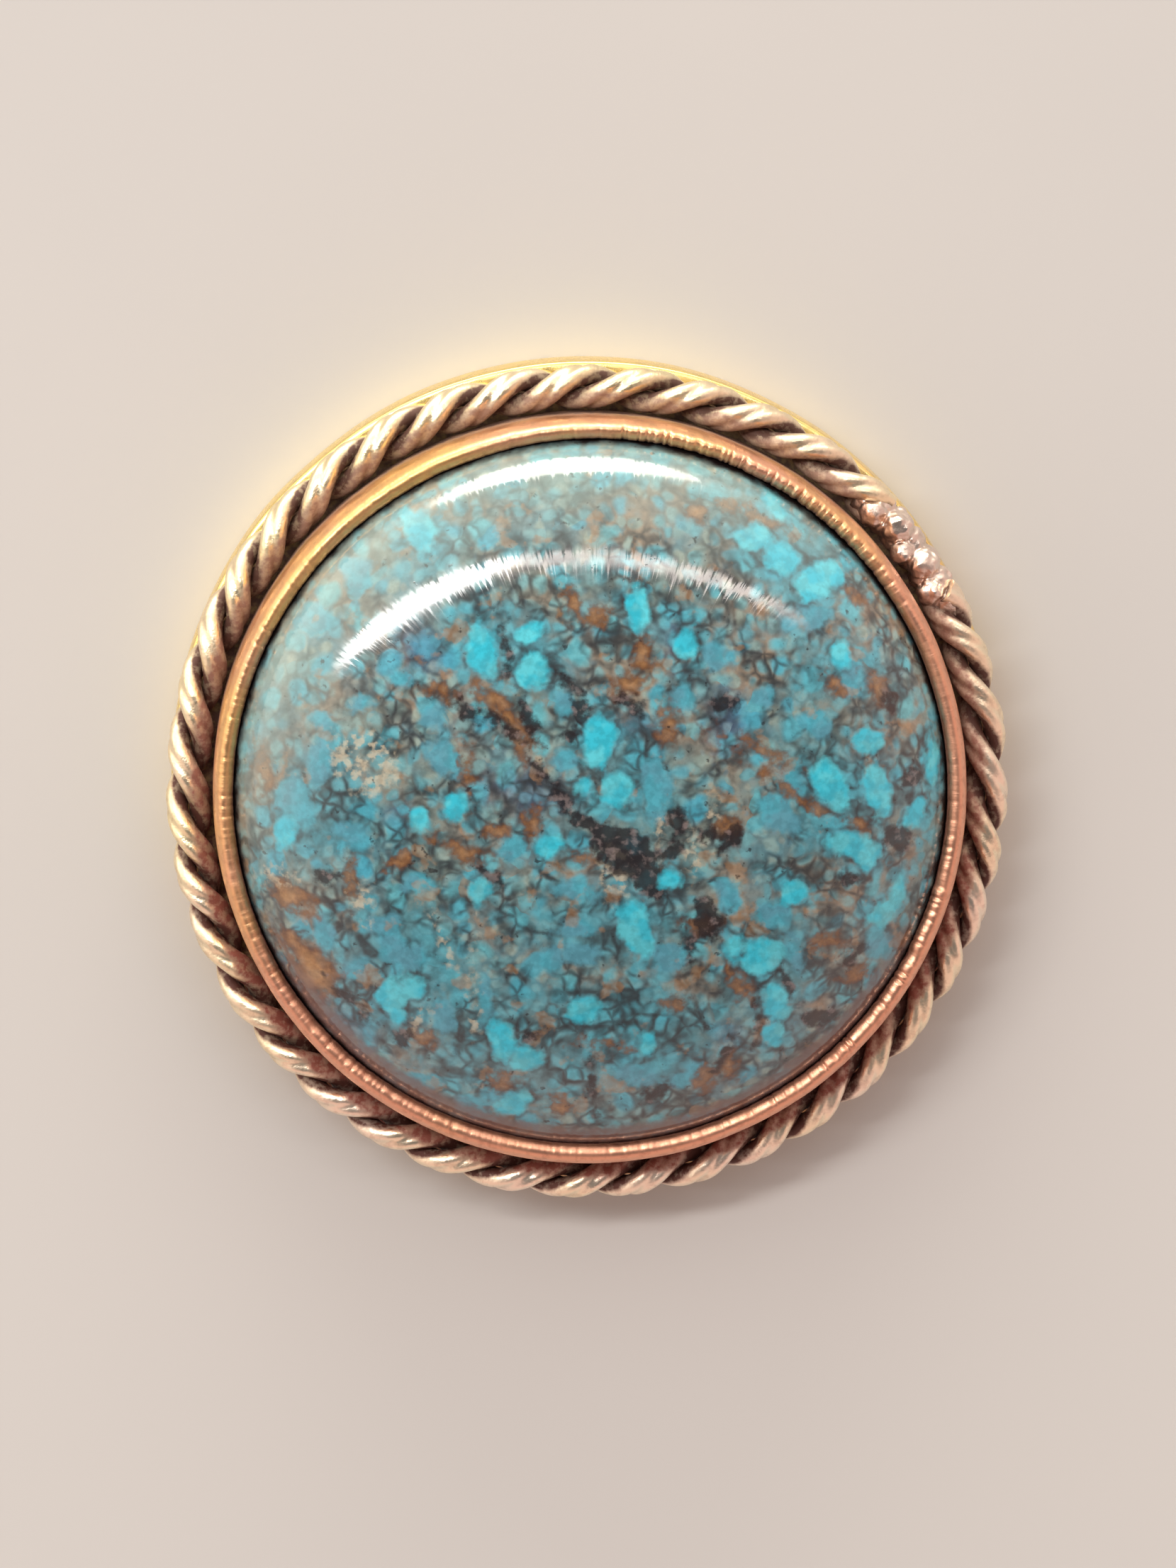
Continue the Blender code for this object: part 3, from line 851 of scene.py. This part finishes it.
def make_bezel(material):
    """The wall round the stone. Its lip is burnished down by hand, so it wavers and shows tool marks."""
    inner = WALL_RADIUS - WALL_THICKNESS
    lip = inner - LIP_OVERHANG
    section = [(WALL_RADIUS - inset * MM, WALL_TOP + rise * MM) for inset, rise in LIP_SECTION]
    outline = [
        (inner, WALL_FOOT),
        (WALL_RADIUS, WALL_FOOT),
        *section,
        (lip, WALL_TOP - 0.12 * MM),
        (lip - 0.01 * MM, WALL_TOP - 0.27 * MM),
        (inner, WALL_TOP - 0.50 * MM),
    ]
    mesh = turned_mesh("bezel_wall", cut_corners(outline, 2), LIP_SEGMENTS, closed=True)
    shoulder = WALL_TOP - 0.60 * MM
    for vertex in mesh.vertices:
        x, y, z = vertex.co
        angle = math.atan2(y, x)
        radius = math.hypot(x, y)
        on_top = min(max((z - shoulder) / (WALL_TOP - shoulder), 0.0), 1.0)
        inwards = min(max((WALL_RADIUS - radius) / (WALL_RADIUS - lip), 0.0), 1.0)
        # The lip's edge wavers, and with it the dark gap to the stone
        shift = wave(angle, LIP_WAVER) * on_top * inwards
        marks = lip_marks(angle, inwards) * on_top
        uneven = noise.noise(vertex.co / (1.6 * MM)) * LIP_UNEVEN
        radius += (shift + uneven + marks * MARK_WIDTH) * MM
        z -= marks * MARK_DEPTH * MM
        vertex.co = (radius * math.cos(angle), radius * math.sin(angle), z)
    return new_piece("bezel_wall", mesh, material)


def make_plate(material):
    """The disc underneath. It sits a little off centre, so it shows past the rope on one side."""
    radius = PLATE_RADIUS + PLATE_EXTRA_RADIUS
    outline = [
        (0.0, 0.0),
        (radius - 0.6 * MM, 0.0),
        (radius - PLATE_BEVEL, 0.0),
        (radius, PLATE_BEVEL),
        (radius, PLATE_TOP - PLATE_BEVEL),
        (radius - PLATE_BEVEL, PLATE_TOP),
        (radius - 0.6 * MM, PLATE_TOP),
        (0.0, PLATE_TOP),
    ]
    mesh = turned_mesh("base_disc", cut_corners(outline, 3, closed=False), PLATE_SEGMENTS, closed=False)
    offset = Vector((math.cos(PLATE_SHIFT_ANGLE), math.sin(PLATE_SHIFT_ANGLE), 0.0)) * PLATE_SHIFT
    for vertex in mesh.vertices:
        x, y, z = vertex.co
        rim = min(max((math.hypot(x, y) / radius - 0.93) / 0.07, 0.0), 1.0)
        sway = noise.noise(Vector((x, y, 0)) / (2.5 * MM)) * 0.03 * MM * rim
        vertex.co += Vector((x, y, 0.0)).normalized() * sway + offset
    return new_piece("base_disc", mesh, material)


def wire_outline(sheet, given):
    """The wire's outline: x faces out of the rope and takes the groove, y is sideways."""
    circle = sheet.add("GeometryNodeCurvePrimitiveCircle", {"Resolution": given["Sides"], "Radius": 1.0})
    position = sheet.add("GeometryNodeInputPosition").outputs[0]
    outward, sideways, _ = sheet.add("ShaderNodeSeparateXYZ", {0: position}).outputs
    bell = sheet.math("POWER", math.e, sheet.times(sheet.times(sideways, sideways), -9.0))
    facing_out = sheet.math("GREATER_THAN", outward, 0.0)
    dip = sheet.minus(1.0, sheet.times(sheet.times(bell, facing_out), given["Groove"]))
    full = sheet.math("POWER", sheet.math("ABSOLUTE", outward), 0.8)
    full = sheet.times(sheet.math("SIGN", outward), full)
    shape = sheet.vector(
        sheet.times(sheet.times(full, dip), given["Half Depth"]),
        sheet.times(sideways, given["Half Width"]),
        0.0,
    )
    keys = {"Geometry": circle.outputs[0], "Position": shape}
    return sheet.add("GeometryNodeSetPosition", keys).outputs[0]


def make_strand_tree():
    """One strand of the rope: a grooved wire that winds round the rope's centre along the ring."""
    tree, sheet, given, out = new_group(
        "twisted_strand",
        {
            "Ring Radius": (FLOAT, 0.009),
            "Ring Height": (FLOAT, 0.002),
            "Turns": (FLOAT, 20.0),
            "Crest Angle": (FLOAT, 0.0),
            "Seam Angle": (FLOAT, 0.0),
            "Seam Half Gap": (FLOAT, 0.003),
            "Strand Turn": (FLOAT, 0.0),
            "Strand Offset": (FLOAT, 0.00025),
            "Half Depth": (FLOAT, 0.00024),
            "Half Width": (FLOAT, 0.00033),
            "Groove": (FLOAT, 0.3),
            "Waver": (FLOAT, 0.00002),
            "Seed": (INTEGER, 1),
            "Steps": (INTEGER, 600),
            "Sides": (INTEGER, 24),
            "Material": (MATERIAL, None),
        },
        {"Geometry": GEOMETRY},
        kind="GeometryNodeTree",
    )
    plus, minus, times = sheet.plus, sheet.minus, sheet.times
    index = sheet.add("GeometryNodeInputIndex").outputs[0]
    along = sheet.math("DIVIDE", index, minus(given["Steps"], 1.0))
    sweep = minus(math.tau, times(given["Seam Half Gap"], 2.0))
    start = plus(given["Seam Angle"], given["Seam Half Gap"])
    ring_angle = plus(start, times(sweep, along))

    def drift(speed, salt):
        """A slow random number round the ring, from about -1 to 1."""
        path = plus(times(ring_angle, speed), times(given["Seed"], salt))
        keys = {"W": path, "Scale": 1.0, "Detail": 1.0}
        value = sheet.add("ShaderNodeTexNoise", keys, noise_dimensions="1D").outputs[0]
        return minus(times(value, 2.0), 1.0)

    def bent_round(vector):
        """A place or a way at angle zero, turned to its place on the ring."""
        keys = {"Vector": vector, "Angle": ring_angle}
        return sheet.add("ShaderNodeVectorRotate", keys, rotation_type="Z_AXIS").outputs[0]

    # The strand's centre circles round the rope's centre line
    twist = times(given["Turns"], minus(ring_angle, given["Crest Angle"]))
    twist = plus(twist, given["Strand Turn"])
    twist = plus(twist, times(drift(2.2, 0.0), 0.5))
    twist = plus(twist, math.pi / 2)
    offset = plus(given["Strand Offset"], times(drift(9.0, 17.3), given["Waver"]))
    outward, upward = sheet.math("COSINE", twist), sheet.math("SINE", twist)
    centre = sheet.vector(
        plus(given["Ring Radius"], times(offset, outward)),
        0.0,
        plus(given["Ring Height"], times(offset, upward)),
    )

    line = sheet.add("GeometryNodeMeshLine", {"Count": given["Steps"]}).outputs[0]
    curve = sheet.add("GeometryNodeMeshToCurve", {"Mesh": line}).outputs[0]
    keys = {"Geometry": curve, "Position": bent_round(centre)}
    curve = sheet.add("GeometryNodeSetPosition", keys).outputs[0]
    keys = {"Curve": curve, "Normal": bent_round(sheet.vector(outward, 0.0, upward))}
    curve = sheet.add("GeometryNodeSetCurveNormal", keys, mode="FREE").outputs[0]
    keys = {
        "Curve": curve,
        "Profile Curve": wire_outline(sheet, given),
        "Scale": plus(1.0, times(drift(14.0, 31.7), 0.06)),
        "Fill Caps": True,
    }
    wire = sheet.add("GeometryNodeCurveToMesh", keys).outputs[0]
    wire = sheet.add("GeometryNodeSetShadeSmooth", {"Geometry": wire}).outputs[0]
    wire = sheet.add("GeometryNodeRealizeInstances", {"Geometry": wire}).outputs[0]
    keys = {"Geometry": wire, "Material": given["Material"]}
    sheet.feed(out["Geometry"], sheet.add("GeometryNodeSetMaterial", keys).outputs[0])
    return tree


def grow(name, tree, values):
    """Runs a node tree with these input values and returns the result as a plain mesh object."""
    holder = bpy.data.objects.new(name, bpy.data.meshes.new(name + "_start"))
    bpy.context.scene.collection.objects.link(holder)
    modifier = holder.modifiers.new(name, "NODES")
    modifier.node_group = tree
    for item in tree.interface.items_tree:
        if item.in_out == "INPUT" and item.name in values:
            modifier[item.identifier] = values[item.name]
    evaluated = holder.evaluated_get(bpy.context.evaluated_depsgraph_get())
    mesh = bpy.data.meshes.new_from_object(evaluated)
    holder.modifiers.remove(modifier)
    holder.data = mesh
    mesh.name = name
    return holder


def make_strand(name, tree, strand_turn, seed, material):
    """Half of the rope, grown by the strand tree."""
    values = {
        "Ring Radius": ROPE_RING_RADIUS,
        "Ring Height": ROPE_HEIGHT,
        "Turns": ROPE_TURNS,
        "Crest Angle": ROPE_CREST_ANGLE,
        "Seam Angle": ROPE_SEAM_ANGLE,
        "Seam Half Gap": SEAM_HALF_GAP,
        "Strand Turn": strand_turn,
        "Strand Offset": STRAND_OFFSET,
        "Half Depth": WIRE_HALF_DEPTH,
        "Half Width": WIRE_HALF_WIDTH,
        "Groove": WIRE_GROOVE,
        "Waver": WIRE_WAVER,
        "Seed": seed,
        "Steps": STRAND_STEPS,
        "Sides": WIRE_SIDES,
        "Material": material,
    }
    return grow(name, tree, values)


def make_solder(material):
    """The solder over the seam, where the strands' cut ends meet: lumps that have run together."""
    filling = [
        (FILLING_START + FILLING_STEP * step, FILLING_SWAY * (-1) ** step, FILLING_RISE, FILLING_SIZE)
        for step in range(FILLING_COUNT)
    ]
    balls = bmesh.new()
    for degrees, outward, upward, size in (*filling, *SOLDER_LUMPS):
        angle = math.radians(degrees)
        radius = ROPE_RING_RADIUS + outward * MM
        spot = Vector((radius * math.cos(angle), radius * math.sin(angle), ROPE_HEIGHT + upward * MM))
        ball = bmesh.ops.create_icosphere(balls, subdivisions=3, radius=size * MM)
        for vertex in ball["verts"]:
            ripple = 1 + 0.22 * noise.noise(vertex.co / (0.16 * MM) + spot * 3000)
            vertex.co = spot + vertex.co * ripple
    mesh = bpy.data.meshes.new("seam_solder")
    balls.to_mesh(mesh)
    balls.free()
    holder = bpy.data.objects.new("seam_solder", mesh)
    bpy.context.scene.collection.objects.link(holder)
    joiner = holder.modifiers.new("one_skin", "REMESH")
    joiner.mode = "VOXEL"
    joiner.voxel_size = SOLDER_GRAIN
    softener = holder.modifiers.new("melted", "SMOOTH")
    softener.iterations = SOLDER_SMOOTHING
    softener.factor = 0.5
    evaluated = holder.evaluated_get(bpy.context.evaluated_depsgraph_get())
    melted = bpy.data.meshes.new_from_object(evaluated)
    bpy.data.objects.remove(holder)
    melted.shade_smooth()
    solder = melted.attributes.new("solder", "FLOAT", "POINT")
    solder.data.foreach_set("value", np.ones(len(melted.vertices), np.float32))
    return new_piece("seam_solder", melted, material)


def make_floor():
    material, sheet, shader, place = new_material("pale_floor")
    mottle = sheet.ramp(sheet.noise(place, 0.02, 4.0), 0.3, 0.7)
    sheet.feed(shader.inputs["Base Color"], sheet.mix(mottle, *FLOOR_TONES))
    shader.inputs["Roughness"].default_value = 0.7
    size = FLOOR_HALF_SIZE
    mesh = bpy.data.meshes.new("floor")
    corners = [(-size, -size, 0), (size, -size, 0), (size, size, 0), (-size, size, 0)]
    mesh.from_pydata(corners, [], [(0, 1, 2, 3)])
    new_piece("floor", mesh, material)


def make_light(name, start, end, width, watts, colour):
    """A long softbox that hangs from one point to the other and faces the stone."""
    start, end = Vector(start), Vector(end)
    middle = (start + end) / 2
    along = (end - start).normalized()
    away = (middle - along * middle.dot(along)).normalized()
    light = bpy.data.lights.new(name, "AREA")
    light.shape = "ELLIPSE"
    light.size = (end - start).length
    light.size_y = width
    light.energy = watts
    light.color = colour
    lamp = bpy.data.objects.new(name, light)
    turn = Matrix((along, away.cross(along), away)).transposed()
    lamp.matrix_world = Matrix.Translation(middle) @ turn.to_4x4()
    bpy.context.scene.collection.objects.link(lamp)


def make_world():
    """Soft light all round: a dark ceiling, rosy walls, and a bright cream wall at the upper left."""
    world = bpy.data.worlds.new("studio")
    world.use_nodes = True
    sheet = Sheet(world.node_tree)
    direction = sheet.add("ShaderNodeTexCoord").outputs["Generated"]
    east, north, up = sheet.add("ShaderNodeSeparateXYZ", {0: direction}).outputs
    towards = sheet.minus(sheet.times(north, 0.9), sheet.times(east, 0.45))
    walls = sheet.mix(sheet.ramp(towards, -0.3, 0.8), STUDIO_ROSY, STUDIO_CREAM)
    low = sheet.times(sheet.ramp(up, 0.45, 0.15), sheet.ramp(towards, 0.2, 0.8))
    walls = sheet.mix(low, walls, STUDIO_BRIGHT)
    lit_side = sheet.times(sheet.math("MAXIMUM", towards, 0.0), 0.28)
    overhead = sheet.ramp(sheet.minus(up, lit_side), 0.50, 0.90)
    back = world.node_tree.nodes["Background"]
    sheet.feed(back.inputs["Color"], sheet.mix(overhead, walls, STUDIO_CEILING))
    bpy.context.scene.world = world


def make_camera():
    """The photograph's view: nearly straight down, leaning a little towards the top of the picture."""
    target = Vector((0.0, 0.0, ROPE_HEIGHT))
    bearing = Vector((math.cos(CAMERA_BEARING), math.sin(CAMERA_BEARING), 0.0))
    away = bearing * math.sin(CAMERA_LEAN) + Vector((0.0, 0.0, math.cos(CAMERA_LEAN)))
    upward = (Vector((0, 1, 0)) - away * away.y).normalized()
    sideways = upward.cross(away)
    camera = bpy.data.cameras.new("camera")
    camera.sensor_width = 36.0
    camera.lens = CAMERA_LENS
    camera.clip_start = 0.01
    camera.clip_end = 10.0
    holder = bpy.data.objects.new("camera", camera)
    turn = Matrix((sideways, upward, away)).transposed()
    holder.matrix_world = Matrix.Translation(target + away * CAMERA_DISTANCE) @ turn.to_4x4()
    bpy.context.scene.collection.objects.link(holder)
    bpy.context.scene.camera = holder


def main():
    ring_place = make_ring_place_group()
    groups = {
        "ring_place": ring_place,
        "polish_lines": make_polish_lines_group(ring_place),
        "brass_finish": make_brass_finish_group(),
        "nodule_layer": make_nodule_layer_group(),
        "matrix_web": make_web_group(),
    }
    turquoise = make_turquoise(groups)
    plate_brass = make_brass(
        "plate_brass", groups, PLATE_GOLD, METAL_COPPER, 0.15, 0.24, plate_recess, (3.0, 30.0), 0.006
    )
    bezel_brass = make_brass(
        "bezel_brass", groups, METAL_GOLD, METAL_COPPER, 0.98, 0.38, bezel_recess, (90.0, 1.5), 0.014
    )
    rope_brass = make_brass(
        "rope_brass", groups, ROPE_GOLD, ROPE_COPPER, 0.45, 0.31, rope_recess, (60.0, 8.0), 0.025
    )

    install(make_stone(turquoise), "turquoise", "stone")
    install(make_bezel(bezel_brass), "bezel_brass", "bezel")
    install(make_plate(plate_brass), "plate_brass", "back_plate")
    strand_tree = make_strand_tree()
    for letter, strand_turn, seed in (("a", 0.0, 3), ("b", math.pi, 8)):
        strand = make_strand("twisted_strand_" + letter, strand_tree, strand_turn, seed, rope_brass)
        install(strand, "rope_brass", "rope_strand_" + letter)
    install(make_solder(rope_brass), "rope_brass")

    make_floor()
    make_world()
    for softbox in SOFTBOXES:
        make_light(*softbox)
    make_camera()
    bpy.context.scene.view_settings.view_transform = "Standard"


main()
